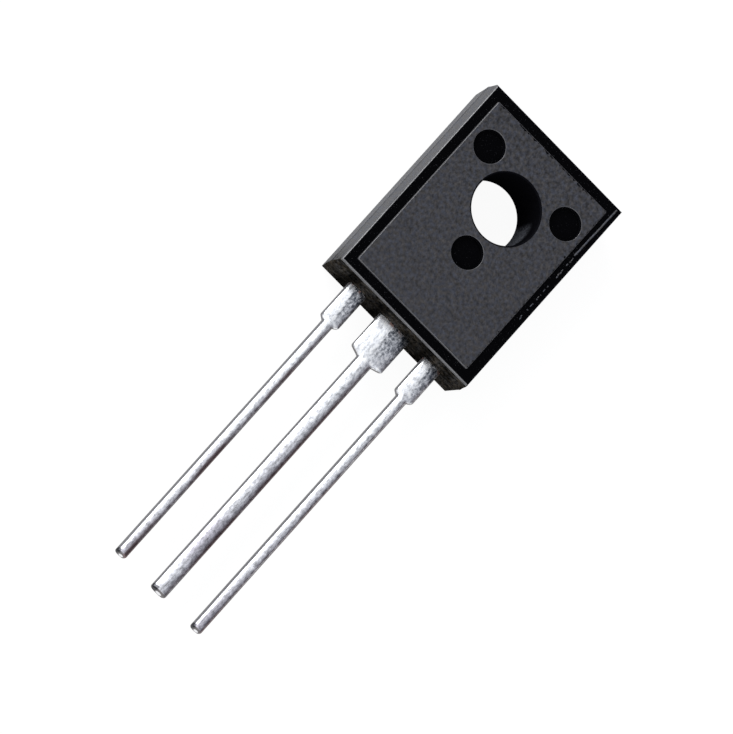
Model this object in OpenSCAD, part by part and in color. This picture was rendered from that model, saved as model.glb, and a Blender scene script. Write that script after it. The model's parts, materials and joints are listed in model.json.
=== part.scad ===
// Thyristor in a flat moulded package with three in-line leads and a screw hole.
// The part lies on its mounting face: +Z leaves the front, the leads run towards -Y.
// The origin is where the axis of the screw hole meets the mounting face. Millimetres.

/* [Moulded body] */
// Width across the parting line
body_w = 7.8; // [6.5:0.1:10]
// Height along the parting line, from the lead end to the far end
body_h = 10.6; // [9.6:0.1:13]
// Thickness, mounting face to front panel
body_t = 2.7; // [2.4:0.05:3.4]
// Draft of every side wall, in degrees
draft = 5; // [2:0.5:7]
// Radius of the four upright corners
corner_r = 0.45; // [0.2:0.05:0.8]
// Hole axis to the far end of the body
hole_to_top = 3.75; // [3.2:0.05:4.5]
// Screw hole diameter
hole_d = 3.1; // [2.6:0.05:3.4]
// Chamfer round the front rim of the screw hole
rim_chamfer = 0.05; // [0.02:0.01:0.15]

/* [Front panel] */
// Polished border left round the raised panel
border_w = 0.5; // [0.3:0.05:0.8]
// Height of the panel above its border
panel_rise = 0.06; // [0.03:0.01:0.15]
// Width of the panel's sloping edge
panel_slope = 0.08; // [0.04:0.01:0.15]
// Diameter of the three pin marks
mark_d = 1.4; // [1:0.05:1.6]
// Depth of the pin marks below the panel
mark_depth = 0.25; // [0.1:0.05:0.4]
// Upper pin marks, each side of the centreline
mark_x = 2.32; // [2.1:0.02:2.4]
// Upper pin marks above the hole axis
mark_up = 1.44; // [1.2:0.02:1.8]
// Lower pin mark below the hole axis
mark_down = 2.6; // [2.4:0.05:3]

/* [Leads] */
// Lead pitch
pitch = 2.25; // [2.1:0.01:2.7]
// Lead length outside the body
lead_len = 15.6; // [6:0.1:20]
// Thickness of the lead frame sheet
sheet_t = 0.55; // [0.4:0.01:0.66]
// Front face of the leads, below the front panel
lead_drop = 1.0; // [0.8:0.05:1.2]
// Width of the two outer leads
outer_w = 0.52; // [0.4:0.01:0.7]
// Width of the centre lead
centre_w = 0.74; // [0.5:0.01:0.95]
// Width of the outer leads' shoulders
outer_shoulder_w = 0.95; // [0.75:0.01:1.15]
// Width of the centre lead's shoulder
centre_shoulder_w = 1.72; // [1.3:0.01:2.1]
// Length of the shoulders outside the body
shoulder_len = 1.8; // [1:0.05:2.6]
// Length over which a shoulder narrows to its lead
shoulder_run = 0.18; // [0.1:0.01:0.4]
// Chamfer on the corners of a lead tip
tip_chamfer = 0.1; // [0.04:0.01:0.18]

/* [Heat spreader] */
// Moulding beside the spreader
side_cover = 0.85; // [0.7:0.05:1.2]
// Moulding beyond the far end of the spreader
top_cover = 0.95; // [0.7:0.05:1.3]
// Moulding between the lead end and the flat of the spreader
foot_cover = 1.95; // [1.85:0.05:2.4]
// Moulded lining between the screw hole and the spreader
hole_lining = 0.35; // [0.25:0.05:0.5]
// Ledge that keys the spreader into the moulding
key_step = 0.3; // [0.15:0.05:0.4]
// Height of that ledge above the mounting face
key_h = 0.2; // [0.1:0.05:0.3]
// Inner radius of the folds in the centre lead
fold_r = 0.25; // [0.15:0.05:0.35]
// Slope of the folded stretch, in degrees
fold_angle = 50; // [40:1:60]

/* [Chip and bonds] */
// Bare margin of spreader before and behind the chip
chip_margin = 0.35; // [0.2:0.05:0.6]
// Chip thickness
chip_t = 0.3; // [0.2:0.02:0.4]
// Solder showing round the chip
solder_margin = 0.1; // [0.04:0.02:0.18]
// Solder thickness
solder_t = 0.05; // [0.02:0.01:0.1]
// Width of moulding between neighbouring bond posts
post_gap = 0.4; // [0.25:0.05:0.6]
// Moulding outside a bond post
post_cover = 0.75; // [0.6:0.05:1]
// Moulding between a bond post and the lead end
post_set = 0.45; // [0.3:0.05:0.7]
// Length of a bond post along the lead
post_len = 1.3; // [1:0.05:1.6]
// Cathode wire diameter
cathode_wire_d = 0.38; // [0.2:0.02:0.5]
// Gate wire diameter
gate_wire_d = 0.2; // [0.1:0.02:0.3]
// Rise of a wire's arch above the straight line between its ends
wire_rise = 0.55; // [0.4:0.05:0.6]

/* [Hidden] */
$fn = 64;
over = 1;                                   // how far a cut runs past the surface
far_y = hole_to_top;
foot_y = hole_to_top - body_h;              // lead end of the body, at the parting line
border_z = body_t - panel_rise;
lead_z = body_t - lead_drop - sheet_t;      // underside of the leads
parting_z = lead_z + sheet_t;               // the mould halves meet at the leads' front face
spreader_end_y = foot_y + foot_cover;
opening_r = hole_d / 2 + hole_lining;       // hole in the spreader
seat_len = -opening_r - spreader_end_y;     // flat of the spreader below its hole
chip_w = seat_len - 2 * chip_margin;
chip_y = (-opening_r + spreader_end_y) / 2;
spreader_top = key_h + sheet_t;             // thick pad below, lead gauge above and round it
chip_top = spreader_top + solder_t + chip_t;
fold_steps = 12;
lower_fold = [spreader_end_y, spreader_top + fold_r];                   // axes of the two folds
fold_gap = 2 * fold_r + sheet_t;
slope_len = (lead_z - key_h - fold_gap * (1 - cos(fold_angle))) / sin(fold_angle);
upper_fold = lower_fold + [-fold_gap * sin(fold_angle) - slope_len * cos(fold_angle),
                           -fold_gap * cos(fold_angle) + slope_len * sin(fold_angle)];
post_inner_x = centre_shoulder_w / 2 + post_gap;
post_outer_x = body_w / 2 - post_cover;
post_y = foot_y + post_set + post_len / 2;
post_x = (post_inner_x + post_outer_x) / 2;

// A side profile of the moulding: widest at the parting line, drafted both ways.
module drafted_profile(low, high) {
    up = (border_z - parting_z) * tan(draft);
    down = parting_z * tan(draft);
    polygon([[low + down, 0], [high - down, 0], [high, parting_z],
             [high - up, border_z], [low + up, border_z], [low, parting_z]]);
}

module rounded_outline(low, high, width, r) {
    for (x = [-1, 1], y = [low + r, high - r]) translate([x * (width / 2 - r), y]) circle(r);
    translate([-width / 2, low + r]) square([width, high - low - 2 * r]);
    translate([-width / 2 + r, low]) square([width - 2 * r, high - low]);
}

// Extrudes a profile drawn in Y and Z across the whole width.
module across(width) {
    rotate([90, 0, 90]) linear_extrude(width, center = true) children();
}

module moulding() {
    intersection() {
        across(body_w + over) drafted_profile(foot_y, far_y);
        translate([0, far_y + over, 0]) rotate([90, 0, 0]) linear_extrude(body_h + 2 * over)
            drafted_profile(-body_w / 2, body_w / 2);
        linear_extrude(body_t) rounded_outline(foot_y, far_y, body_w, corner_r);
    }
    front_panel();
}

// One pair of the panel's sloping edges, drawn from below the border up to the panel.
module panel_profile(low, high) {
    polygon([[low, parting_z], [high, parting_z], [high, border_z],
             [high - panel_slope, body_t], [low + panel_slope, body_t], [low, border_z]]);
}

module front_panel() {
    inset = (border_z - parting_z) * tan(draft) + border_w;
    side = body_w / 2 - inset;
    intersection() {
        across(body_w) panel_profile(foot_y + inset, far_y - inset);
        translate([0, far_y, 0]) rotate([90, 0, 0]) linear_extrude(body_h)
            panel_profile(-side, side);
    }
}

module screw_hole() {
    translate([0, 0, -over]) cylinder(d = hole_d, h = body_t + 2 * over);
    translate([0, 0, body_t - rim_chamfer])
        cylinder(d1 = hole_d, d2 = hole_d + 4 * rim_chamfer, h = 2 * rim_chamfer);
}

module pin_marks() {
    for (place = [[-mark_x, mark_up], [mark_x, mark_up], [0, -mark_down]])
        translate([place[0], place[1], body_t - mark_depth]) cylinder(d = mark_d, h = over);
}

// A straight lead with its shoulder, from inside the body to its chamfered tip.
module lead_outline(width, shoulder_w, start_y) {
    step_y = foot_y - shoulder_len;
    tip_y = foot_y - lead_len;
    half = width / 2;
    shoulder = shoulder_w / 2;
    polygon([[-shoulder, start_y], [-shoulder, step_y], [-half, step_y - shoulder_run],
             [-half, tip_y + tip_chamfer], [-half + tip_chamfer, tip_y],
             [half - tip_chamfer, tip_y], [half, tip_y + tip_chamfer],
             [half, step_y - shoulder_run], [shoulder, step_y], [shoulder, start_y]]);
}

// side is -1 for the lead on the -X side and 1 for the lead on the +X side.
module outer_lead(side) {
    translate([0, 0, lead_z]) linear_extrude(sheet_t) {
        translate([side * pitch, 0]) lead_outline(outer_w, outer_shoulder_w, post_y);
        translate([side * post_x, post_y])
            square([post_outer_x - post_inner_x, post_len], center = true);
    }
}

// Points round a fold, on a circle about centre. Angles are from +Z towards +Y.
function fold_points(centre, r, angles) = [for (a = angles) centre + r * [sin(a), cos(a)]];

// Side profile of the sheet: level at the spreader, up through two folds, level along the lead.
module folded_profile() {
    rising = [for (i = [0:fold_steps]) fold_angle * i / fold_steps];
    falling = [for (i = [fold_steps:-1:0]) fold_angle * i / fold_steps];
    end_y = foot_y - lead_len - over;
    polygon(concat(
        [[spreader_end_y + over, spreader_top]],
        fold_points(lower_fold, -fold_r, rising),
        fold_points(upper_fold, fold_r + sheet_t, falling),
        [[end_y, parting_z], [end_y, lead_z]],
        fold_points(upper_fold, fold_r, rising),
        fold_points(lower_fold, -fold_r - sheet_t, falling),
        [[spreader_end_y + over, key_h]]));
}

module keyed_plate() {
    half = body_w / 2 - side_cover;
    top_y = far_y - top_cover;
    length = top_y - spreader_end_y;
    translate([-half, spreader_end_y, key_h]) cube([2 * half, length, sheet_t]);
    translate([-half + key_step, spreader_end_y + key_step, 0])
        cube([2 * (half - key_step), length - 2 * key_step, spreader_top]);
}

// A round wire from one flat top to another, in the upright plane through both ends.
module bond_wire(from, to, d) {
    run = norm([to[0] - from[0], to[1] - from[1]]);
    climb = to[2] - from[2];
    chord = norm([run, climb]);
    arch_r = (pow(chord / 2, 2) + pow(wire_rise, 2)) / (2 * wire_rise);
    half_angle = asin(chord / 2 / arch_r);
    spare = 12;                             // degrees of wire past each end, cut off flat
    translate(from) rotate([0, 0, atan2(to[1] - from[1], to[0] - from[0])]) difference() {
        rotate([90, -atan2(climb, run), 0]) translate([chord / 2, wire_rise - arch_r, 0])
            rotate([0, 0, 90 - half_angle - spare])
                rotate_extrude(angle = 2 * (half_angle + spare)) translate([arch_r, 0]) circle(d = d);
        translate([-over, -over, -over]) cube([over + 2 * d, 2 * over, over]);
        translate([run - 2 * d, -over, climb - over]) cube([over + 2 * d, 2 * over, over]);
    }
}

module body() {
    color("#26262a") difference() {
        moulding();
        screw_hole();
        pin_marks();
        spreader_with_anode_lead();
        cathode_lead();
        gate_lead();
        chip();
        chip_solder();
        cathode_wire();
        gate_wire();
    }
}

module spreader_with_anode_lead() {
    color("#c9c7c2") difference() {
        union() {
            keyed_plate();
            intersection() {
                across(centre_shoulder_w) folded_profile();
                linear_extrude(body_t) lead_outline(centre_w, centre_shoulder_w, spreader_end_y + over);
            }
        }
        translate([0, 0, -over]) cylinder(r = opening_r, h = spreader_top + 2 * over);
    }
}

module cathode_lead() {
    color("#c9c7c2") outer_lead(-1);
}

module gate_lead() {
    color("#c9c7c2") outer_lead(1);
}

module chip() {
    color("#5d6068") translate([0, chip_y, chip_top - chip_t / 2])
        cube([chip_w, chip_w, chip_t], center = true);
}

module chip_solder() {
    pad = chip_w + 2 * solder_margin;
    color("#a9a9a6") translate([0, chip_y, spreader_top + solder_t / 2])
        cube([pad, pad, solder_t], center = true);
}

module cathode_wire() {
    color("#dcdcda") bond_wire([-chip_w / 5, chip_y - chip_w / 8, chip_top],
                               [-post_x, post_y, parting_z], cathode_wire_d);
}

module gate_wire() {
    color("#dcdcda") bond_wire([chip_w / 3, chip_y - chip_w / 3, chip_top],
                               [post_x, post_y, parting_z], gate_wire_d);
}

body();
spreader_with_anode_lead();
cathode_lead();
gate_lead();
chip();
chip_solder();
cathode_wire();
gate_wire();
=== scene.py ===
# Thyristor in a flat moulded package, lying on its mounting face.
# The frame gives the sizes that other parts fit to. Meshes are drawn in millimetres and scaled at the end.
import bpy
import bmesh
import json
import math
from mathutils import Matrix, Quaternion, Vector


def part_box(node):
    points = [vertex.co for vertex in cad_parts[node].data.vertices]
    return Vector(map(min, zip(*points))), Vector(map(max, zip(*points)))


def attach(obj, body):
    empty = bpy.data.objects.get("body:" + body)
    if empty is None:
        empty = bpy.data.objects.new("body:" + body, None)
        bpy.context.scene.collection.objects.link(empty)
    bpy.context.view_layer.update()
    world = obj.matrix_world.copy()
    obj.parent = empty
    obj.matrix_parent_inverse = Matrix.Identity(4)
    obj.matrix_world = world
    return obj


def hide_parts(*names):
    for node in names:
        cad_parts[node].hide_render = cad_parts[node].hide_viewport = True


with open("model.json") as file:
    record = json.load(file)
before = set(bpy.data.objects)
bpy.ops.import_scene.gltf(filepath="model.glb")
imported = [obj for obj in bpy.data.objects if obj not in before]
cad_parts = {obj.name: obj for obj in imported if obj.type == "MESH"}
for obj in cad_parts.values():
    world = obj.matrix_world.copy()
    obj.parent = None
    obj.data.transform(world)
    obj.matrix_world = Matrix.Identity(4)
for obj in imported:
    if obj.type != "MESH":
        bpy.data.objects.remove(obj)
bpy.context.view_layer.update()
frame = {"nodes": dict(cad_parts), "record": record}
mm = 0.001
print("frame loaded:", ", ".join(sorted(frame["nodes"])))


# sizes read from the frame, in millimetres

def nodeBox(node):
    low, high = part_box(node)
    return low / mm, high / mm


def mountPlace(name):
    for mount in frame["record"]["mounts"]:
        if mount["name"] == name:
            return Vector(mount["pos_m"]) / mm, mount["dims"]


bodyLow, bodyHigh = nodeBox("body")
leadLow, leadHigh = nodeBox("cathode_lead")
spreaderLow, spreaderHigh = nodeBox("spreader_with_anode_lead")
holeRadius = mountPlace("mounting_hole")[1]["r_mm"]
leadPitch = mountPlace("gate_lead_end")[0].x - mountPlace("anode_lead_end")[0].x
sheetThickness = leadHigh.z - leadLow.z
leadZ = (leadLow.z + leadHigh.z) / 2
tipY = leadLow.y
footY = bodyLow.y                          # the wall that the leads leave
partingZ = leadHigh.z                      # the mould halves meet at the leads' front face


# node helpers

def plug(tree, node, inputs):
    # link the values that are sockets and set the others
    for key, value in inputs.items():
        if isinstance(value, bpy.types.NodeSocket):
            tree.links.new(value, node.inputs[key])
        else:
            node.inputs[key].default_value = value


def addNode(tree, kind, inputs=None, **settings):
    node = tree.nodes.new(kind)
    for name, value in settings.items():
        setattr(node, name, value)
    plug(tree, node, inputs or {})
    return node


def build(tree, kind, inputs=None, **settings):
    # add a node and return its first output
    return addNode(tree, kind, inputs, **settings).outputs[0]


def calc(tree, operation, *values):
    return build(tree, "ShaderNodeMath", dict(enumerate(values)), operation=operation)


def plus(tree, first, *others):
    for other in others:
        first = calc(tree, "ADD", first, other)
    return first


def times(tree, first, *others):
    for other in others:
        first = calc(tree, "MULTIPLY", first, other)
    return first


def minus(tree, first, second):
    return calc(tree, "SUBTRACT", first, second)


def absolute(tree, value):
    return calc(tree, "ABSOLUTE", value)


def largest(tree, first, second):
    return calc(tree, "MAXIMUM", first, second)


def hypotenuse(tree, first, second):
    return calc(tree, "SQRT", plus(tree, times(tree, first, first), times(tree, second, second)))


def remap(tree, value, fromLow, fromHigh, toLow=0.0, toHigh=1.0, smooth=False):
    inputs = dict(enumerate((value, fromLow, fromHigh, toLow, toHigh)))
    return build(tree, "ShaderNodeMapRange", inputs, interpolation_type="SMOOTHSTEP" if smooth else "LINEAR")


def band(tree, value, start, end, toLow=0.0, toHigh=1.0, smooth=False):
    # remap a place over a stretch that is given in millimetres
    return remap(tree, value, start * mm, end * mm, toLow, toHigh, smooth)


def between(tree, mask, low, high):
    # low where the mask is 0 and high where it is 1
    return remap(tree, mask, 0.0, 1.0, low, high)


def blend(tree, amount, first, second, mode="MIX"):
    ends = [end if isinstance(end, bpy.types.NodeSocket) else (*end, 1) for end in (first, second)]
    inputs = {0: amount, 6: ends[0], 7: ends[1]}
    return addNode(tree, "ShaderNodeMix", inputs, data_type="RGBA", blend_type=mode).outputs[2]


def tinted(tree, colour, factor):
    return blend(tree, 1.0, colour, factor, "MULTIPLY")


def split(tree, vector):
    return addNode(tree, "ShaderNodeSeparateXYZ", {0: vector}).outputs


def vectorCalc(tree, operation, first, second):
    return build(tree, "ShaderNodeVectorMath", {0: first, 1: second}, operation=operation)


def scaled(tree, vector, factor):
    return build(tree, "ShaderNodeVectorMath", {0: vector, "Scale": factor}, operation="SCALE")


def noise(tree, place, scale, detail=2.0, roughness=0.5):
    inputs = {"Vector": place, "Scale": scale, "Detail": detail, "Roughness": roughness}
    return build(tree, "ShaderNodeTexNoise", inputs)


def seededNoise(tree, place, seed, scale, detail):
    inputs = {"Vector": place, "W": seed, "Scale": scale, "Detail": detail}
    return addNode(tree, "ShaderNodeTexNoise", inputs, noise_dimensions="4D").outputs


def mottle(tree, place, pattern, low=0.0, high=1.0):
    # noise with "rate" features to the millimetre, spread from low to high where it lies inside its "cut"
    values = noise(tree, place, pattern["rate"] / mm, pattern["detail"], pattern.get("roughness", 0.5))
    return remap(tree, values, *pattern["cut"], low, high)


def newGroup(name, kind, inputs, outputs):
    # a number is an input's default, and a word is the type of an input that has none
    tree = bpy.data.node_groups.new(name, kind)
    numberTypes = {float: "Float", int: "Int"}
    for label, value in inputs.items():
        socketType = numberTypes.get(type(value), value)
        socket = tree.interface.new_socket(label, in_out="INPUT", socket_type="NodeSocket" + socketType)
        if type(value) in numberTypes:
            socket.default_value = value
    for label, socketType in outputs.items():
        tree.interface.new_socket(label, in_out="OUTPUT", socket_type="NodeSocket" + socketType)
    return tree, tree.nodes.new("NodeGroupInput").outputs, tree.nodes.new("NodeGroupOutput")


def closeTree(tree, take, result, geometry):
    # every geometry tree ends as real geometry with its material
    real = build(tree, "GeometryNodeRealizeInstances", {"Geometry": geometry})
    painted = build(tree, "GeometryNodeSetMaterial", {"Geometry": real, "Material": take["Material"]})
    plug(tree, result, {"Geometry": painted})
    return tree


def newMaterial(name, constants):
    material = bpy.data.materials.new(name)
    material.use_nodes = True
    tree = material.node_tree
    shader = tree.nodes["Principled BSDF"]
    plug(tree, shader, constants)
    return material, tree, shader, addNode(tree, "ShaderNodeTexCoord").outputs


reliefDepth = {"moulding": 0.5, "tin": 0.15, "inside": 0.3}      # of bumps, as a share of their size


def addBump(tree, shader, strength, distance, height):
    # distance in millimetres
    bump = build(tree, "ShaderNodeBump", {"Strength": strength, "Distance": distance * mm, "Height": height})
    plug(tree, shader, {"Normal": bump})


# mesh helpers, lengths in millimetres

mergeDistance = 1e-5
sameHeight = 1e-4
pickMargin = 0.01


def newObject(name, data):
    item = bpy.data.objects.new(name, data)
    bpy.context.scene.collection.objects.link(item)
    return item


def meshObject(name, bm):
    mesh = bpy.data.meshes.new(name)
    bm.to_mesh(mesh)
    bm.free()
    return newObject(name, mesh)


def shapedMesh(item):
    # the object's mesh as its modifiers leave it
    depsgraph = bpy.context.evaluated_depsgraph_get()
    return bpy.data.meshes.new_from_object(item.evaluated_get(depsgraph))


def takeShape(item):
    # turn an object with modifiers into a bmesh and remove the object
    meshes = item.data, shapedMesh(item)
    bm = bmesh.new()
    bm.from_mesh(meshes[1])
    bpy.data.objects.remove(item)
    for mesh in meshes:
        bpy.data.meshes.remove(mesh)
    return bm


def openEdges(bm):
    return len([edge for edge in bm.edges if not edge.is_manifold])


def finishPiece(name, bm, materials, replaced=(), flatten=False):
    piece = meshObject(name, bm)
    for material in materials:
        piece.data.materials.append(material)
    if flatten:                                    # large faces stay flat up to their rounded rims
        weighting = piece.modifiers.new("weighting", "WEIGHTED_NORMAL")
        weighting.weight = 100
        weighting.thresh = 0
        weighting.keep_sharp = True
        shaped = shapedMesh(piece)
        piece.modifiers.clear()
        piece.data = shaped
    piece.data.transform(Matrix.Scale(mm, 4))
    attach(piece, "root")
    if replaced:
        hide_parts(*replaced)
    print("made", name, "with", len(piece.data.polygons), "faces")


# fine grain, shared by all finishes

grainLook = {
    "roughness": 0.6,
    "wideScale": 0.12,           # a wider layer lies under the fine one
    "wideShare": 0.08,
    "swing": 4.0,                # of the tone, for a contrast of 1
    "specks": (0.68, 0.74),
}


def makeGrainGroup():
    tree, take, result = newGroup("fineGrain", "ShaderNodeTree", {
        "Coordinates": "Vector",
        "Grain Size": 0.08,
        "Contrast": 0.3,
    }, {"Tone": "Float", "Height": "Float", "Specks": "Float"})
    scale = calc(tree, "DIVIDE", 1 / mm, take["Grain Size"])
    fine = noise(tree, take["Coordinates"], scale, 2.0, grainLook["roughness"])
    wide = noise(tree, take["Coordinates"], times(tree, scale, grainLook["wideScale"]), 1.0)
    share = grainLook["wideShare"]
    both = plus(tree, times(tree, fine, 1 - share), times(tree, wide, share))
    swing = times(tree, minus(tree, both, 0.5), times(tree, take["Contrast"], grainLook["swing"]))
    plug(tree, result, {"Tone": plus(tree, swing, 1.0), "Height": fine,
                        "Specks": remap(tree, fine, *grainLook["specks"])})
    return tree


fineGrain = makeGrainGroup()


def addGrain(tree, place, look, contrast=None):
    inputs = {"Coordinates": place, "Grain Size": look["grain"], "Contrast": contrast or look["contrast"]}
    return addNode(tree, "ShaderNodeGroup", inputs, node_tree=fineGrain).outputs


# moulding materials, lengths in millimetres

compound = {
    "panel": {
        "colour": (0.0262, 0.027, 0.032), "specular": 0.25, "roughness": 0.62,
        "grain": 0.17, "contrast": 0.78, "bump": 0.5,
        "grainRamp": (-5.0, 2.5), "grainGain": (0.8, 1.15),      # the grain is stronger towards the top
        "inset": 0.6,                                            # from the parting outline to the fringe
        # the fringe is painted shade, black and shineless, on the panel's +Y and +X sides
        "fringe": {"rate": 4.0, "detail": 3.0, "roughness": 0.7, "cut": (0.35, 0.7)},
        "fringeReach": (-0.05, 0.13), "fringeEdge": 0.02, "sideShrink": 1.4,
        "fringeShadeColour": (0.002, 0.002, 0.0025)},
    "polish": {
        "colour": (0.0011, 0.0011, 0.0014), "specular": 0.4, "roughness": 0.05,
        "grain": 0.05, "contrast": 0.2, "bump": 0.0,
        "speckColour": (0.045, 0.045, 0.05)},
    "edge": {
        # the rims' paler colour is a painted highlight
        "colour": (0.05, 0.05, 0.055), "specular": 0.75, "roughness": 0.25,
        "grain": 0.08, "contrast": 0.6, "bump": 0.2,
        "wear": {"rate": 0.9, "detail": 4.0, "cut": (0.38, 0.58)}, "wornShare": 0.65,
        "facing": (-0.3, -0.1), "facingGain": 1.3},              # rims that face the leads shine more, a painted highlight on their lit side
    "wall": {
        "colour": (0.041, 0.043, 0.051), "specular": 0.28, "roughness": 0.5,
        "grain": 0.1, "contrast": 0.6, "bump": 0.6,
        "rootLength": 1.2, "rootShade": 0.45,
        "pitRate": 4.0, "pitShare": 0.7, "pitCut": (0.74, 0.8), "pitShade": 0.15},
    "leadEnd": {
        # the lead end is the wall's compound made darker and shineless: painted shade
        "colour": (0.0135, 0.0124, 0.011), "specular": 0.0, "roughness": 0.6,
        "grain": 0.12, "contrast": 1.3, "bump": 0.25,
        "fray": {"rate": 1.6, "detail": 3.0, "cut": (0.3, 0.7)}, "frayReach": 0.16,
        "outerShade": 0.55, "centreShade": 0.92,                 # from the middle of a lead to its shade
        "shadeRamp": (0.04, 0.36), "shade": 0.4,
        # painted reflection of the leads over them, and painted light at both ends of the wall
        "reflectionRamp": (0.2, 0.5), "litEnds": (3.0, 3.4), "paintedLight": 1.8,
        "streak": {"rate": 5.0, "detail": 2.0, "cut": (0.34, 0.72)},
        "streakStretch": (0.28, 0.28, 1.0), "streakGain": (0.5, 1.9)},
    # the bore's finish is near black and shineless, painted shade in the screw hole, the pin marks and the
    # rims that face away from the light
    "bore": {
        "colour": (0.003, 0.003, 0.004), "specular": 0.0, "roughness": 0.7,
        "grain": 0.12, "contrast": 0.3, "bump": 0.2,
        "gleamColour": (0.066, 0.07, 0.082), "gleamX": (0.86, 0.99),   # as shares of the hole's radius
        "gleamZ": (2.1, 1.3), "patchCut": (0.35, 0.65), "gleamGain": (0.4, 1.6)},
    "back": {
        "colour": (0.035, 0.036, 0.04), "specular": 0.4, "roughness": 0.5,
        "grain": 0.09, "contrast": 0.5, "bump": 0.4},
}
filler = {
    "finishes": ("panel", "wall", "leadEnd"),
    "grains": {"rate": 5.5, "detail": 2.0, "cut": (0.35, 0.65)},
    "cold": (0.93, 0.99, 1.12),
    "warm": (1.1, 1.0, 0.86),
}
compoundRoughness = {"cut": (0.3, 0.7), "spread": (0.85, 1.15)}
finishIndex = {name: place for place, name in enumerate(compound)}


def wrapToLead(tree, x):
    # how far across a place lies from the middle of the nearest lead
    return calc(tree, "WRAP", x, leadPitch / 2 * mm, -leadPitch / 2 * mm)


def nearCentreLead(tree, distance):
    return calc(tree, "LESS_THAN", distance, leadPitch / 2 * mm)


def unevenRoughness(tree, height, look, cut, spread):
    return remap(tree, height, *cut, *[look["roughness"] * share for share in spread])


def leadEndTone(tree, look, place, spot, tone):
    # painted shade at one side of every lead, a painted reflection of the leads over them, and painted light
    # at both ends of the wall
    reach = look["frayReach"] * mm
    frayed = plus(tree, spot["X"], mottle(tree, place, look["fray"], -reach, reach))
    aside = wrapToLead(tree, frayed)
    outward = absolute(tree, frayed)
    toShade = between(tree, nearCentreLead(tree, outward), look["outerShade"] * mm, look["centreShade"] * mm)
    fromShade = plus(tree, aside, toShade)
    shade = band(tree, absolute(tree, fromShade), *look["shadeRamp"], look["shade"], 1.0, smooth=True)
    leadReflection = times(tree, band(tree, fromShade, *look["reflectionRamp"], smooth=True),
                     band(tree, aside, *reversed(look["reflectionRamp"]), smooth=True))
    paintedLight = largest(tree, leadReflection, band(tree, outward, *look["litEnds"], smooth=True))
    shade = times(tree, shade, between(tree, paintedLight, 1.0, look["paintedLight"]))
    # streaks left by the mould's parting
    stretched = vectorCalc(tree, "MULTIPLY", place, look["streakStretch"])
    return times(tree, tone, shade, mottle(tree, stretched, look["streak"], *look["streakGain"]))


def wallShade(tree, look, place, spot):
    # the side walls darken towards the leads, with dark pits
    shade = band(tree, spot["Y"], footY, footY + look["rootLength"], look["rootShade"], 1.0)
    pits = plus(tree, noise(tree, place, look["pitRate"] / mm, 1.0), times(tree, shade, look["pitShare"]))
    return times(tree, shade, between(tree, remap(tree, pits, *look["pitCut"]), look["pitShade"], 1.0))


def panelKept(tree, look, place, spot):
    # 0 in a ragged fringe of painted shade along the panel's +Y and +X sides, away from the light
    flat = vectorCalc(tree, "MULTIPLY", place, (1, 1, 0))
    fringe = mottle(tree, flat, look["fringe"], *[reach * mm for reach in look["fringeReach"]])
    fromTop = minus(tree, (bodyHigh.y - look["inset"]) * mm, spot["Y"])
    fromSide = minus(tree, (bodyHigh.x - look["inset"]) * mm, spot["X"])
    nearest = calc(tree, "MINIMUM", fromTop, times(tree, fromSide, look["sideShrink"]))
    return band(tree, minus(tree, nearest, fringe), 0.0, look["fringeEdge"])


def edgeGlint(tree, look, place, facing):
    # the rims shine unevenly, with a painted highlight where they face the leads
    worn = mottle(tree, place, look["wear"], look["specular"] * look["wornShare"], look["specular"])
    return times(tree, worn, remap(tree, facing["Y"], *look["facing"], look["facingGain"], 1.0))


def boreGleam(tree, look, spot, height):
    # a mottled painted gleam of light low on one side of the bore
    sideways = band(tree, spot["X"], *[share * holeRadius for share in look["gleamX"]], smooth=True)
    lowDown = band(tree, spot["Z"], *look["gleamZ"], smooth=True)
    return times(tree, sideways, lowDown, remap(tree, height, *look["patchCut"], *look["gleamGain"]))


def makeCompound(name):
    look = compound[name]
    material, tree, shader, given = newMaterial("moulding_" + name, {"Specular IOR Level": look["specular"]})
    place = given["Object"]
    spot = split(tree, place)
    contrast = None
    if name == "panel":
        gains = [look["contrast"] * gain for gain in look["grainGain"]]
        contrast = band(tree, spot["Y"], *look["grainRamp"], *gains)
    grain = addGrain(tree, place, look, contrast)
    tone = grain["Tone"]
    if name == "leadEnd":
        tone = leadEndTone(tree, look, place, spot, tone)
    colour = tinted(tree, look["colour"], tone)
    if name in filler["finishes"]:                 # slightly warm and slightly cold grains of filler
        warmth = mottle(tree, place, filler["grains"])
        colour = tinted(tree, colour, blend(tree, warmth, filler["cold"], filler["warm"]))
    if name == "wall":
        shade = wallShade(tree, look, place, spot)
        colour = tinted(tree, colour, shade)
        plug(tree, shader, {"Specular IOR Level": times(tree, shade, look["specular"])})
    if name == "polish":                           # a few grains break the polished surface
        colour = blend(tree, grain["Specks"], colour, look["speckColour"])
    if name == "panel":
        # painted shade: in the fringe the panel turns black and loses its shine
        kept = panelKept(tree, look, place, spot)
        colour = blend(tree, kept, look["fringeShadeColour"], colour)
        plug(tree, shader, {"Specular IOR Level": times(tree, kept, look["specular"])})
    if name == "edge":
        plug(tree, shader, {"Specular IOR Level": edgeGlint(tree, look, place, split(tree, given["Normal"]))})
    if name == "bore":
        # painted highlight: a lighter gleam low on one side of the bore
        colour = blend(tree, boreGleam(tree, look, spot, grain["Height"]), colour, look["gleamColour"])
    rough = unevenRoughness(tree, grain["Height"], look, **compoundRoughness)
    plug(tree, shader, {"Base Color": colour, "Roughness": rough})
    if look["bump"]:
        addBump(tree, shader, look["bump"], look["grain"] * reliefDepth["moulding"], grain["Height"])
    return material


mouldingMaterials = {name: makeCompound(name) for name in compound}
print("moulding materials ready")


# the moulding

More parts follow.
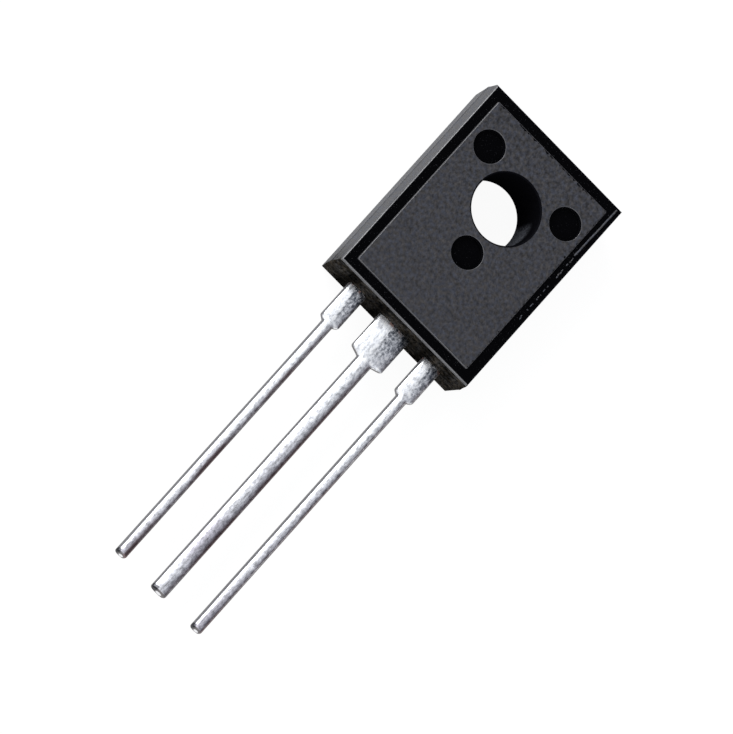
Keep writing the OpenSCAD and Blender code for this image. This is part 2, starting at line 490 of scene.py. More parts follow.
moulding = {
    "draft": math.radians(5),
    "uprightRadius": 0.18,       # corners of the parting outline
    "edgeRadius": 0.075,         # rounding of the front and back rims
    "borderWidth": 0.5,
    "panelRise": 0.06,
    "panelSlope": 0.02,
    "panelCorner": 0.06,
    "panelRound": 0.025,
    "markRadius": 0.735,
    "markDepth": 0.25,
    "markPlaces": ((-2.32, 1.44), (2.32, 1.44), (0.0, -2.6)),
    "markRound": 0.02,
    "holeRound": 0.08,
    "holeBackRound": 0.02,
    "leadEndFacing": 0.25,       # walls that face the leads by more than this have the lead end's darker finish, painted shade
    "shadedRimFacing": 0.1,        # front rims that face +X or +Y by more than this take the bore's black finish, painted shade away from the light
    "cornerSteps": 6,
    "roundSteps": 4,
    "circleSteps": 96,
}
spreader = {
    "keyHeight": 0.2,            # the pad is smaller up to here, and the moulding grips the plate above it
    "keyStep": 0.3,
    "cornerRadius": 0.02,
    "padRound": (0.025, 0.03),   # inwards and upwards
    "bendStartY": -4.9,
    "holeRadius": holeRadius + 0.35,
}
plateTop = spreader["keyHeight"] + sheetThickness


def cornerRing(bm, low, high, radius, z, limitLow=None, limitHigh=None):
    # rounded rectangle, anticlockwise from the -Y end of the +X side, held inside the limits
    limitLow = limitLow or low
    limitHigh = limitHigh or high
    steps = moulding["cornerSteps"]
    ring = []
    corners = ((high[0], low[1], -90), (high[0], high[1], 0), (low[0], high[1], 90), (low[0], low[1], 180))
    for x, y, start in corners:
        centre = (x - math.copysign(radius, x - (low[0] + high[0]) / 2),
                  y - math.copysign(radius, y - (low[1] + high[1]) / 2))
        for step in range(steps + 1):
            angle = math.radians(start + 90 * step / steps)
            px = centre[0] + radius * math.cos(angle)
            py = centre[1] + radius * math.sin(angle)
            px = min(max(px, limitLow[0]), limitHigh[0])
            py = min(max(py, limitLow[1]), limitHigh[1])
            ring.append(bm.verts.new((px, py, z)))
    return ring


def roundRing(bm, centre, radius, z):
    ring = []
    for step in range(moulding["circleSteps"]):
        turn = 2 * math.pi * step / moulding["circleSteps"]
        x, y = centre[0] + radius * math.cos(turn), centre[1] + radius * math.sin(turn)
        ring.append(bm.verts.new((x, y, z)))
    return ring


def plateRing(bm, z, *insets):
    # outline of the spreader's plate at height z, drawn in by each inset in turn
    low = Vector((spreaderLow.x, spreader["bendStartY"]))
    high = spreaderHigh.xy
    for inset in insets:
        low = low + Vector((inset, inset))
        high = high - Vector((inset, inset))
    return cornerRing(bm, low, high, spreader["cornerRadius"], z)


def quarterRound(radius):
    # steps round a rim: how far it has turned away from the first face, and how far it is from the second
    turns = [math.pi / 2 * step / moulding["roundSteps"] for step in range(moulding["roundSteps"] + 1)]
    return [(radius * (1 - math.cos(turn)), radius * (1 - math.sin(turn))) for turn in turns]


def bridge(bm, rings, finish):
    # faces from each ring to the next, which point outwards on the way up the outside and in over the front
    for first, second in zip(rings, rings[1:]):
        count = len(first)
        for place in range(count):
            after = (place + 1) % count
            face = bm.faces.new((first[place], first[after], second[after], second[place]))
            face.material_index = finishIndex[finish]
            face.smooth = True


def fillPlane(bm, z, up, finish, within=(0, math.inf)):
    # close the open rims that lie at height z; within picks between nested rims by distance from the hole
    edges = []
    for edge in bm.edges:
        if edge.is_boundary and all(abs(vert.co.z - z) < sameHeight for vert in edge.verts):
            if within[0] < edge.verts[0].co.xy.length < within[1]:
                edges.append(edge)
    made = bmesh.ops.triangle_fill(bm, use_beauty=True, edges=edges, normal=(0, 0, 1 if up else -1))
    for item in made["geom"]:
        if isinstance(item, bmesh.types.BMFace):
            item.material_index = finishIndex[finish]
            item.smooth = True
            item.normal_update()
            if (item.normal.z > 0) != up:
                item.normal_flip()


def drawOutside(bm, borderZ, slant):
    # from the back rim up to the border
    size = moulding
    edge = size["edgeRadius"]

    def wallRing(z, rounding=0.0):
        inset = abs(z - partingZ) * slant + rounding
        low = (bodyLow.x + rounding, bodyLow.y + rounding)
        high = (bodyHigh.x - rounding, bodyHigh.y - rounding)
        return cornerRing(bm, low, high, size["uprightRadius"] - rounding, z,
                          (bodyLow.x + inset, bodyLow.y + inset), (bodyHigh.x - inset, bodyHigh.y - inset))

    backRim = [wallRing(up, inward) for inward, up in quarterRound(edge)]
    parting = wallRing(partingZ)
    frontRim = [wallRing(borderZ - down, inward) for inward, down in quarterRound(edge)]
    bridge(bm, backRim[::-1] + [parting, frontRim[0]], "wall")
    bridge(bm, frontRim, "edge")
    return frontRim[-1]


def drawPanel(bm, borderRim, borderZ, slant):
    # border, the panel's sloping edge and its rounded rim
    size = moulding
    steps = size["roundSteps"]
    start = (borderZ - partingZ) * slant + size["borderWidth"]
    lean = math.atan2(size["panelRise"], size["panelSlope"])
    rounding = size["panelRound"]
    cut = rounding * math.tan(lean / 2)            # fillet length along each side of the rim

    def panelRing(inward, z):
        inset = start + inward
        low = (bodyLow.x + inset, bodyLow.y + inset)
        high = (bodyHigh.x - inset, bodyHigh.y - inset)
        return cornerRing(bm, low, high, size["panelCorner"], z)

    foot = panelRing(0, borderZ)
    bridge(bm, [borderRim, foot], "polish")
    for place, vert in enumerate(foot):            # crisp line between the border and the panel
        bm.edges.get((vert, foot[(place + 1) % len(foot)])).smooth = False
    rings = [foot]
    for step in range(steps + 1):
        turn = lean * (1 - step / steps)
        inward = size["panelSlope"] + cut - rounding * math.sin(turn)
        rings.append(panelRing(inward, bodyHigh.z - rounding * (1 - math.cos(turn))))
    bridge(bm, rings, "edge")


def drawHoles(bm):
    # screw hole and pin marks, each from its rounded rim inwards
    size = moulding
    front = bodyHigh.z
    floorZ = front - size["markDepth"]

    def rimRings(centre, radius, rounding):
        return [roundRing(bm, centre, radius + out, front - down) for down, out in quarterRound(rounding)]

    rim = rimRings((0, 0), holeRadius, size["holeRound"])
    foot = [roundRing(bm, (0, 0), holeRadius + out, up) for out, up in quarterRound(size["holeBackRound"])]
    bridge(bm, rim + foot, "bore")
    radius, rounding = size["markRadius"], size["markRound"]
    for centre in size["markPlaces"]:
        rim = rimRings(centre, radius, rounding)
        bridge(bm, rim, "edge")
        foot = [roundRing(bm, centre, radius - inward, floorZ + up) for inward, up in quarterRound(rounding)]
        bridge(bm, rim[-1:] + foot, "bore")


def drawBack(bm):
    # recess that holds the spreader's pad, then all the flat faces
    keyStep, keyHeight = spreader["keyStep"], spreader["keyHeight"]
    recess = [plateRing(bm, 0, keyStep), plateRing(bm, keyHeight, keyStep),
              plateRing(bm, keyHeight), plateRing(bm, plateTop)]
    bridge(bm, recess, "back")
    lining = [roundRing(bm, (0, 0), spreader["holeRadius"], z) for z in (0, plateTop)]
    bridge(bm, lining[::-1], "back")
    bmesh.ops.remove_doubles(bm, verts=bm.verts, dist=mergeDistance)
    fillPlane(bm, bodyHigh.z, True, "panel")
    fillPlane(bm, bodyHigh.z - moulding["markDepth"], True, "polish")
    fillPlane(bm, plateTop, False, "back")
    nearPad = spreader["holeRadius"] + pickMargin
    fillPlane(bm, 0, False, "back", (nearPad, math.inf))
    fillPlane(bm, 0, False, "back", (0, nearPad))


def makeMoulding():
    bm = bmesh.new()
    slant = math.tan(moulding["draft"])
    borderZ = bodyHigh.z - moulding["panelRise"]
    drawPanel(bm, drawOutside(bm, borderZ, slant), borderZ, slant)
    drawHoles(bm)
    drawBack(bm)
    for face in bm.faces:                          # two finishes go by where the faces look
        # the wall that the leads leave gets the lead end's finish, darker with painted shade
        if face.material_index == finishIndex["wall"] and face.normal.y < -moulding["leadEndFacing"]:
            face.material_index = finishIndex["leadEnd"]
        # rims that face away from the light are painted into shade with the bore's black, shineless finish
        elif face.material_index == finishIndex["edge"] and face.calc_center_median().z < borderZ:
            if max(face.normal.x, face.normal.y) > moulding["shadedRimFacing"]:
                face.material_index = finishIndex["bore"]
    bmesh.ops.recalc_face_normals(bm, faces=bm.faces)
    return bm


mouldingMesh = makeMoulding()
print("moulding drawn, open edges:", openEdges(mouldingMesh))
finishPiece("moulded_body", mouldingMesh, mouldingMaterials.values(), ["body"], flatten=True)


# tin on the leads and on the spreader's pad, lengths in millimetres

tin = {
    "lead": {
        "colour": (0.85, 0.865, 0.9), "roughness": 0.3,
        # the dark side colours are painted shade on the dull stamped sides and lower flanks
        "side": (0.17, 0.16, 0.163), "sideLeft": (0.19, 0.19, 0.2),
        "flankShade": (0.21, 0.148, 0.15), "flankShading": 0.9,
        "farTint": (0.5, 0.47, 0.51), "farTintAmount": 0.85, "copperAmount": 0.9,
        "paintedShade": (0.085, 0.098, 0.125), "shadeAmount": 1.0, "rootShadeBias": 0.2, "speckle": 0.45, "lean": 0.6,
        "stretch": 0.5, "grain": 0.12, "contrast": 0.55, "cloud": 0.24, "fleck": 0.11,
        "dent": 0.6, "bump": 0.19, "fineBump": 0.06},
    "pad": {
        "colour": (0.7, 0.7, 0.71), "roughness": 0.36,
        "side": (0.4, 0.4, 0.4), "sideLeft": (0.4, 0.4, 0.4),
        "flankShade": (0.4, 0.4, 0.4), "flankShading": 0.0,
        "farTint": (1.0, 1.0, 1.0), "farTintAmount": 0.0, "copperAmount": 0.0,
        "paintedShade": (0.4, 0.4, 0.42), "shadeAmount": 0.4, "rootShadeBias": 0.0, "speckle": 1.0, "lean": 0.0,
        "stretch": 0.5, "grain": 0.12, "contrast": 0.12, "cloud": 0.9, "fleck": 0.9,
        "dent": 0.9, "bump": 0.4, "fineBump": 0.3},
}
tinRoughness = {"cut": (0.35, 0.65), "spread": (0.8, 1.25)}
dullRoughness = 0.5
patchRate = 0.5                                    # patches of brown to the millimetre
leadShading = {
    "root": (1.9, 0.4),          # out from the moulding, from where the painted shade thickens to where it is full
    "rootStart": 0.4,
    "spread": 0.16,              # it is this much wider at the root
    "narrowing": 0.018,          # and narrows from lead to lead towards +X
    "edge": (-0.06, 0.1),
    "cut": (0.47, 0.7),
    "grainCut": (0.4, 0.62),
}
farTinting = {
    "fromBody": 4.0,
    "fromTip": 3.0,
    "patchCut": (0.4, 0.58),
    "patchLow": 0.35,
}
flankShading = {
    "fromBody": (1.8, 4.5),
    "patchCut": (0.42, 0.55),
    "patchLow": 0.2,
    "first": (0.02, 0.2),        # how far faces turn to +X where the brownish painted shade starts and is full, at -X
    "last": (0.34, 0.8),         # and at +X
}
leadSides = {
    "facing": (0.6, 0.8),
    "upright": (0.9, 0.7),
    "flankZ": (0.12, 0.03),      # above the middle of the sheet
    "left": (-0.3, -0.5),
}
cutEnd = {
    "atTip": (2.2, 1.6),         # in from the tip, times its rounding
    "facing": (-0.12, -0.45),
    "ovalWidth": (0.1, 0.14),    # outer leads, centre lead
    "ovalHeight": 0.15,
    "ovalShift": 0.05,
    "ovalEdge": (1.15, 0.85),
    "ovalColour": (0.85, 0.85, 0.87),
    "tipSpot": (-0.08, -0.16),
    "tipSpotCut": (0.3, 0.4),
    "tipSpotDull": 0.85,
    "tipSpotColour": (0.03, 0.03, 0.035),
}
copper = {
    "fromBody": (0.16, 0.06),
    "cut": (0.52, 0.6),
    "colour": (0.36, 0.2, 0.16),
}


def outFromBody(distances):
    return [footY - distance for distance in distances]


def paintedShadeMask(tree, look, place, spot, aside, height):
    # painted shade in cloudy flecks on the +X half of each lead, away from the light, heaviest where the
    # leads leave the moulding
    root = outFromBody(leadShading["root"])
    nearRoot = band(tree, spot["Y"], *root, 0.0, look["rootShadeBias"])
    spread = times(tree, band(tree, spot["Y"], *root), leadShading["spread"] * mm)
    spread = minus(tree, spread, times(tree, spot["X"], leadShading["narrowing"]))
    lean = band(tree, plus(tree, aside, spread), *leadShading["edge"], -look["lean"], 0.0)
    flecks = noise(tree, place, 1 / (look["fleck"] * mm), 3.0, 0.65)
    paintedShade = remap(tree, plus(tree, flecks, nearRoot, lean), *leadShading["cut"], smooth=True)
    speckled = remap(tree, height, *leadShading["grainCut"], 1.0, look["speckle"])
    rooted = band(tree, spot["Y"], *root, leadShading["rootStart"], 1.0)
    return times(tree, paintedShade, speckled, rooted, look["shadeAmount"])


def farTintMask(tree, look, spot, patches):
    # the far halves of the leads are darker and slightly purple, in patches
    stretch = (footY - farTinting["fromBody"], tipY + farTinting["fromTip"])
    farTint = band(tree, spot["Y"], *stretch, 0.0, look["farTintAmount"])
    return times(tree, farTint, remap(tree, patches, *farTinting["patchCut"], farTinting["patchLow"], 1.0))


def flankShadeMask(tree, look, spot, facing, patches):
    # brownish painted shade on the flanks that turn to +X, away from the light, from the shoulders on, in a
    # band that narrows from lead to lead towards +X
    flankShade = band(tree, spot["Y"], *outFromBody(flankShading["fromBody"]), 0.0, look["flankShading"])
    flankShade = times(tree, flankShade, remap(tree, patches, *flankShading["patchCut"], flankShading["patchLow"], 1.0))
    across = band(tree, spot["X"], -leadPitch, leadPitch)
    turns = [between(tree, across, first, last) for first, last in zip(flankShading["first"], flankShading["last"])]
    return times(tree, flankShade, remap(tree, facing["X"], *turns))


def sideMask(tree, spot, facing):
    # stamped sides are dull, and so is the lower part of rounded flanks and ends; their dark colour is
    # painted shade
    side = remap(tree, absolute(tree, facing["X"]), *leadSides["facing"], smooth=True)
    upright = remap(tree, absolute(tree, facing["Z"]), *leadSides["upright"])
    flank = times(tree, upright, band(tree, spot["Z"], *[leadZ + above for above in leadSides["flankZ"]]))
    return largest(tree, side, flank)


def endMasks(tree, spot, facing, aside, cloud):
    # the cut end has a bright oval inside a dark rim of painted shade, and a dark spot on its -X side
    outerWidth, centreWidth = cutEnd["ovalWidth"]
    centred = nearCentreLead(tree, absolute(tree, spot["X"]))
    ovalWidth = between(tree, centred, outerWidth * mm, centreWidth * mm)
    ovalX = calc(tree, "DIVIDE", minus(tree, aside, cutEnd["ovalShift"] * mm), ovalWidth)
    ovalZ = calc(tree, "DIVIDE", minus(tree, spot["Z"], leadZ * mm), cutEnd["ovalHeight"] * mm)
    reach = hypotenuse(tree, ovalX, ovalZ)
    atTip = band(tree, spot["Y"], *[tipY + leads["tipRound"] * factor for factor in cutEnd["atTip"]])
    endOn = times(tree, remap(tree, facing["Y"], *cutEnd["facing"]), atTip)
    oval = times(tree, endOn, remap(tree, reach, *cutEnd["ovalEdge"]))
    tipSpot = times(tree, band(tree, aside, *cutEnd["tipSpot"]),
                   remap(tree, cloud, *cutEnd["tipSpotCut"]), atTip)
    return endOn, oval, tipSpot


def makeTinned(name):
    look = tin[name]
    material, tree, shader, given = newMaterial("tinned_" + name, {"Metallic": 1.0})
    place = given["Object"]
    spot, facing = split(tree, place), split(tree, given["Normal"])
    drawn = vectorCalc(tree, "MULTIPLY", place, (1.0, look["stretch"], 1.0))
    grain = addGrain(tree, drawn, look)
    aside = wrapToLead(tree, minus(tree, spot["X"], leads["offset"] * mm))
    cloud = noise(tree, drawn, 1 / (look["cloud"] * mm), 3.0, 0.6)
    patches = noise(tree, drawn, patchRate / mm)

    colour = tinted(tree, look["colour"], grain["Tone"])
    # painted shade over the tin on the side away from the light and near the moulding
    colour = blend(tree, paintedShadeMask(tree, look, place, spot, aside, grain["Height"]), colour, look["paintedShade"])
    colour = blend(tree, farTintMask(tree, look, spot, patches), colour, tinted(tree, look["farTint"], colour))
    # painted shade, brownish, on the flanks that face +X, away from the light
    flankShaded = flankShadeMask(tree, look, spot, facing, patches)
    colour = blend(tree, flankShaded, colour, look["flankShade"])

    # dull sides and ends, darkened with painted shade, lie over the bright tin
    side = sideMask(tree, spot, facing)
    endOn, oval, tipSpot = endMasks(tree, spot, facing, aside, cloud)
    rim = largest(tree, endOn, times(tree, tipSpot, cutEnd["tipSpotDull"]))
    dull = times(tree, largest(tree, side, rim), minus(tree, 1.0, oval))
    onLeft = remap(tree, facing["X"], *leadSides["left"])
    dullColour = blend(tree, onLeft, look["side"], look["sideLeft"])
    dullColour = blend(tree, flankShaded, dullColour, look["flankShade"])
    dullColour = blend(tree, tipSpot, dullColour, cutEnd["tipSpotColour"])
    colour = blend(tree, dull, colour, dullColour)
    colour = blend(tree, oval, colour, cutEnd["ovalColour"])

    # bare copper peeps through beside the moulding
    peep = times(tree, band(tree, spot["Y"], *outFromBody(copper["fromBody"])),
                 remap(tree, cloud, *copper["cut"]), look["copperAmount"])
    colour = blend(tree, peep, colour, copper["colour"])
    rough = between(tree, dull, unevenRoughness(tree, cloud, look, **tinRoughness), dullRoughness)
    plug(tree, shader, {"Base Color": colour, "Roughness": rough})
    dents = noise(tree, drawn, 1 / (look["dent"] * mm), 1.5, 0.4)
    height = plus(tree, dents, times(tree, grain["Height"], look["fineBump"]))
    addBump(tree, shader, look["bump"], look["dent"] * reliefDepth["tin"], height)
    return material


# leads, lengths in millimetres

leads = {
    "outer": {"width": 0.55, "shoulder": 0.98},
    "centre": {"width": 0.79, "shoulder": 1.76},
    "shoulderLength": 1.8,
    "shoulderRun": 0.22,
    "postInset": 0.45,           # from the wall to the bond post, inside the moulding
    "postLength": 1.3,
    "postRun": 0.05,
    "postCrown": 9.0,
    "postThinning": 0.96,
    "neckInset": 0.3,            # from the wall to where the centre lead narrows a little
    "neckNarrowing": 0.02,
    "leadCrown": 2.7,            # exponent of the section: 2 is an ellipse, higher is squarer
    "shoulderCrown": 4.0,
    "ridgeSlope": 0.13,
    "ridgeSoftness": 0.06,
    "tipRound": 0.09,
    "tipSteps": 6,
    "unevenness": 0.010,
    "waveStretch": (1.6, 0.55, 1.6),
    "waveMiddle": 0.75,
    "offset": 0.075,             # the lead frame sits a little to one side of the moulding
    "firstStation": 0.02,
    "station": 0.05,
    "around": 40,
    "foldRadius": 0.525,
    "foldAngle": math.radians(50),
    "foldSteps": 8,
    "plateOverlap": 0.3,
    "cutFacing": -0.999,         # faces of the sheared end look along -Y
}


def makeLeadTree():
    tree, take, result = newGroup("leadSweep", "GeometryNodeTree", {
        "Path": "Geometry",
        "Thickness": 0.5,
        "Lead Width": 0.5,
        "Shoulder Width": 1.0,
        "Shoulder Start": 10.0,
        "Shoulder Run": 0.2,
        "Post Start": 12.0,
        "Post Width": 1.0,
        "Post Shift": 0.0,
        "Lead Crown": 3.0,
        "Shoulder Crown": 4.0,
        "Tip Round": 0.05,
        "Ridge Slope": 0.1,
        "Ridge Softness": 0.05,
        "Unevenness": 0.01,
        "Around": 32,
        "Seed": 0.0,
        "Material": "Material",
    }, {"Geometry": "Geometry"})

    def store(geometry, name, kind, value):
        inputs = {"Geometry": geometry, "Name": name, "Value": value}
        return build(tree, "GeometryNodeStoreNamedAttribute", inputs, data_type=kind, domain="POINT")

    def recall(name, kind):
        return build(tree, "GeometryNodeInputNamedAttribute", {"Name": name}, data_type=kind)

    # the path keeps its distance from the tip, its place and its upward direction
    path = build(tree, "GeometryNodeMeshToCurve", {"Mesh": take["Path"]})
    tangent = build(tree, "GeometryNodeInputTangent")
    path = store(path, "along", "FLOAT", addNode(tree, "GeometryNodeSplineParameter").outputs["Length"])
    path = store(path, "upward", "FLOAT_VECTOR", vectorCalc(tree, "CROSS_PRODUCT", (1, 0, 0), tangent))
    path = store(path, "centre", "FLOAT_VECTOR", build(tree, "GeometryNodeInputPosition"))
    # the ring's radius doesn't matter, because its points are placed anew below
    ring = build(tree, "GeometryNodeCurvePrimitiveCircle", {"Resolution": take["Around"], "Radius": 0.1})
    turn = times(tree, addNode(tree, "GeometryNodeSplineParameter").outputs["Factor"], 2 * math.pi)
    ring = store(ring, "turn", "FLOAT", turn)
    swept = build(tree, "GeometryNodeCurveToMesh", {"Curve": path, "Profile Curve": ring, "Fill Caps": True})

    # width, shift and squareness change along the lead
    along = recall("along", "FLOAT")
    turn = recall("turn", "FLOAT")
    start, postStart = take["Shoulder Start"], take["Post Start"]
    onShoulder = remap(tree, along, start, plus(tree, start, take["Shoulder Run"]), smooth=True)
    onPost = remap(tree, along, postStart, plus(tree, postStart, leads["postRun"]))
    width = between(tree, onShoulder, take["Lead Width"], take["Shoulder Width"])
    width = between(tree, onPost, width, take["Post Width"])
    crown = between(tree, onShoulder, take["Lead Crown"], take["Shoulder Crown"])
    crown = between(tree, onPost, crown, leads["postCrown"])
    thinned = times(tree, take["Thickness"], leads["postThinning"])
    thick = between(tree, onPost, take["Thickness"], thinned)
    gap = largest(tree, minus(tree, take["Tip Round"], along), 0.0)
    squares = minus(tree, times(tree, take["Tip Round"], take["Tip Round"]), times(tree, gap, gap))
    inset = minus(tree, take["Tip Round"], calc(tree, "SQRT", squares))
    inset = times(tree, inset, calc(tree, "GREATER_THAN", gap, 0.0))

    def rounded(wave, size):
        side = calc(tree, wave, turn)
        power = calc(tree, "POWER", absolute(tree, side), calc(tree, "DIVIDE", 2.0, crown))
        reach = minus(tree, times(tree, size, 0.5), inset)
        return times(tree, power, calc(tree, "SIGN", side), reach)

    # the front face falls away on both sides of a soft ridge
    reach = rounded("COSINE", width)
    height = rounded("SINE", thick)
    soft = take["Ridge Softness"]
    bend = times(tree, minus(tree, hypotenuse(tree, reach, soft), soft), take["Ridge Slope"])
    upper = largest(tree, calc(tree, "DIVIDE", height, times(tree, thick, 0.5)), 0.0)
    bend = times(tree, bend, upper, minus(tree, 1.0, onPost))
    height = minus(tree, height, bend)
    across = plus(tree, reach, times(tree, onPost, take["Post Shift"]))
    sideways = build(tree, "ShaderNodeCombineXYZ", {"X": across})
    upwards = scaled(tree, recall("upward", "FLOAT_VECTOR"), height)
    place = vectorCalc(tree, "ADD", recall("centre", "FLOAT_VECTOR"), sideways)
    place = vectorCalc(tree, "ADD", place, upwards)
    shaped = build(tree, "GeometryNodeSetPosition", {"Geometry": swept, "Position": place})

    # the dipped tin leaves long shallow waves
    spot = vectorCalc(tree, "MULTIPLY", build(tree, "GeometryNodeInputPosition"), leads["waveStretch"])
    wave = seededNoise(tree, spot, take["Seed"], 1.0, 2.0)["Fac"]
    lift = times(tree, minus(tree, wave, leads["waveMiddle"]), take["Unevenness"])
    push = scaled(tree, build(tree, "GeometryNodeInputNormal"), lift)
    uneven = build(tree, "GeometryNodeSetPosition", {"Geometry": shaped, "Offset": push})
    for name in ("along", "turn", "upward", "centre"):
        uneven = build(tree, "GeometryNodeRemoveAttribute", {"Geometry": uneven, "Name": name})
    return closeTree(tree, take, result, uneven)


def sweep(name, points, tree, settings):
    # run a tree over a path of points and return what it makes
    mesh = bpy.data.meshes.new(name)
    mesh.from_pydata(points, [(place, place + 1) for place in range(len(points) - 1)], [])
    path = newObject(name, mesh)
    modifier = path.modifiers.new("sweep", "NODES")
    modifier.node_group = tree
    sockets = {item.name: item.identifier for item in tree.interface.items_tree if item.in_out == "INPUT"}
    for label, value in settings.items():
        modifier[sockets[label]] = value
    path.update_tag()
    bm = takeShape(path)
    bmesh.ops.remove_doubles(bm, verts=bm.verts, dist=mergeDistance)
    bmesh.ops.recalc_face_normals(bm, faces=bm.faces)
    for face in bm.faces:
        face.smooth = len(face.verts) <= 4         # only the end caps have more corners, and stay flat
    return bm


def leadPath(endY):
    # stations from the tip to endY, closer together over the rounded tip
    tip, steps = leads["tipRound"], leads["tipSteps"]
    places = [tipY + tip * (1 - math.cos(math.pi / 2 * step / steps)) for step in range(steps + 1)]
    y = tipY + tip + leads["firstStation"]
    while y < endY:
        places.append(y)
        y += leads["station"]
    return [(0, y, leadZ) for y in places + [endY]]


def foldedPath():
    # the centre lead steps down inside the moulding to the mounting plate
    radius, angle, steps = leads["foldRadius"], leads["foldAngle"], leads["foldSteps"]
    plateZ = spreader["keyHeight"] + sheetThickness / 2
    lowerY = spreader["bendStartY"]
    fall = leadZ - plateZ - 2 * radius * (1 - math.cos(angle))
    upperY = lowerY - 2 * radius * math.sin(angle) - fall / math.tan(angle)
    turns = [angle * step / steps for step in range(steps + 1)]
    bend = [(radius * math.sin(turn), radius * (1 - math.cos(turn))) for turn in turns]
    points = leadPath(upperY)
    points += [(0, upperY + run, leadZ - drop) for run, drop in bend[1:]]
    points += [(0, lowerY - run, plateZ + rise) for run, rise in reversed(bend)]
    return points + [(0, lowerY + leads["plateOverlap"], plateZ)]


def sweepLead(name, points, sizes, postStart, postWidth, postShift, centreX, seed):
    bm = sweep(name, points, leadTree, {
        "Thickness": sheetThickness,
        "Lead Width": sizes["width"],
        "Shoulder Width": sizes["shoulder"],
        "Shoulder Start": footY - tipY - leads["shoulderLength"] - leads["shoulderRun"],
        "Shoulder Run": leads["shoulderRun"],
        "Post Start": postStart,
        "Post Width": postWidth,
        "Post Shift": postShift,
        "Lead Crown": leads["leadCrown"],
        "Shoulder Crown": leads["shoulderCrown"],
        "Tip Round": leads["tipRound"],
        "Ridge Slope": leads["ridgeSlope"],
        "Ridge Softness": leads["ridgeSoftness"],
        "Unevenness": leads["unevenness"],
        "Around": leads["around"],
        "Seed": seed,
        "Material": tinned,
    })
    bmesh.ops.translate(bm, vec=(centreX + leads["offset"], 0, 0), verts=bm.verts)
    return bm


def makeOuterLead(node, seed):
    centreX = mountPlace(node + "_end")[0].x
    low, high = nodeBox(node)
    postY = footY + leads["postInset"]
    postStart = postY - tipY - leads["postRun"]
    postShift = (low.x + high.x) / 2 - centreX
    bm = sweepLead(node + "_path", leadPath(postY + leads["postLength"]), leads["outer"],
                   postStart, high.x - low.x, postShift, centreX, seed)
    finishPiece("tinned_" + node, bm, [tinned], [node])


def makePlate():
    plate = bmesh.new()
    soft, softZ = spreader["padRound"]
    keyStep, keyHeight = spreader["keyStep"], spreader["keyHeight"]
    outline = [plateRing(plate, 0, keyStep, soft), plateRing(plate, softZ, keyStep),
               plateRing(plate, keyHeight, keyStep), plateRing(plate, keyHeight), plateRing(plate, plateTop)]
    bridge(plate, outline, "panel")
    bore = [roundRing(plate, (0, 0), spreader["holeRadius"] + grow, z)
            for grow, z in ((soft, 0), (0, softZ), (0, plateTop))]
    bridge(plate, bore[::-1], "panel")
    bmesh.ops.remove_doubles(plate, verts=plate.verts, dist=mergeDistance)
    fillPlane(plate, 0, False, "panel")
    fillPlane(plate, plateTop, True, "panel")
    bmesh.ops.recalc_face_normals(plate, faces=plate.faces)
    return plate


def makeSpreader(seed):
    bm = sweepLead("anode_path", foldedPath(), leads["centre"], footY + leads["neckInset"] - tipY,
                   leads["centre"]["shoulder"] - leads["neckNarrowing"], 0.0, 0.0, seed)
    lead = meshObject("anode_part", bm)
    plate = meshObject("plate_part", makePlate())
    join = lead.modifiers.new("join", "BOOLEAN")
    join.operation = "UNION"
    join.solver = "EXACT"
    join.object = plate
    whole = takeShape(lead)
    bpy.data.objects.remove(plate)
    for face in whole.faces:                       # the sheared end stays flat, and the pad has its own tin
        y = face.calc_center_median().y
        face.smooth = face.normal.y > leads["cutFacing"] or y > tipY + pickMargin
        face.material_index = 1 if y > spreader["bendStartY"] - pickMargin else 0
    print("spreader drawn, open edges:", openEdges(whole))
    finishPiece("tinned_spreader_with_anode_lead", whole, [tinned, padTin],
                ["spreader_with_anode_lead"])


tinned = makeTinned("lead")
padTin = makeTinned("pad")
leadTree = makeLeadTree()
makeOuterLead("cathode_lead", seed=1.7)
makeOuterLead("gate_lead", seed=8.1)
makeSpreader(seed=5.3)


# flash at the parting and a thin line of it in the border

flash = {
    "shared": {"Spacing": 0.06},
    "parting": {"Thickness": 0.022, "Thin": 0.35, "Sway": 0.006, "Size": 0.5, "Seed": 3.0},
    "border": {"Thickness": 0.085, "Thin": 0.06, "Sway": 0.04, "Size": 0.4, "Seed": 9.0},
}
flashShape = {
    "around": 8,
    "thinCut": (0.4, 0.65),
    "detail": 3.0,
}
borderLine = {
    "fromTop": 0.2,              # of the moulding
    "length": 2.8,
    "inset": (0.22, 0.28),       # from the front rim, at the start and at the end
}


def makeFlashTree():
    tree, take, result = newGroup("flashSweep", "GeometryNodeTree", {
        "Path": "Geometry",
        "Spacing": 0.06,
        "Thickness": 0.03,
        "Thin": 0.3,
        "Sway": 0.01,
        "Size": 0.4,
        "Seed": 0.0,
        "Material": "Material",
    }, {"Geometry": "Geometry"})
    path = build(tree, "GeometryNodeMeshToCurve", {"Mesh": take["Path"]})
    path = build(tree, "GeometryNodeResampleCurve", {"Curve": path, "Length": take["Spacing"]}, mode="LENGTH")
    rate = calc(tree, "DIVIDE", 1.0, take["Size"])
    spot = build(tree, "GeometryNodeInputPosition")
    wave = seededNoise(tree, spot, take["Seed"], rate, flashShape["detail"])
    radius = remap(tree, wave["Fac"], *flashShape["thinCut"], take["Thin"], 1.0)
    swayed = scaled(tree, vectorCalc(tree, "SUBTRACT", wave["Color"], (0.5, 0.5, 0.5)), take["Sway"])
    path = build(tree, "GeometryNodeSetPosition", {"Geometry": path, "Offset": swayed})
    path = build(tree, "GeometryNodeSetCurveRadius", {"Curve": path, "Radius": radius})
    ring = build(tree, "GeometryNodeCurvePrimitiveCircle", {"Resolution": flashShape["around"],
                                                            "Radius": times(tree, take["Thickness"], 0.5)})
    swept = build(tree, "GeometryNodeCurveToMesh", {"Curve": path, "Profile Curve": ring, "Fill Caps": True})
    return closeTree(tree, take, result, swept)


flashTree = makeFlashTree()
flashMaterial = mouldingMaterials["wall"]


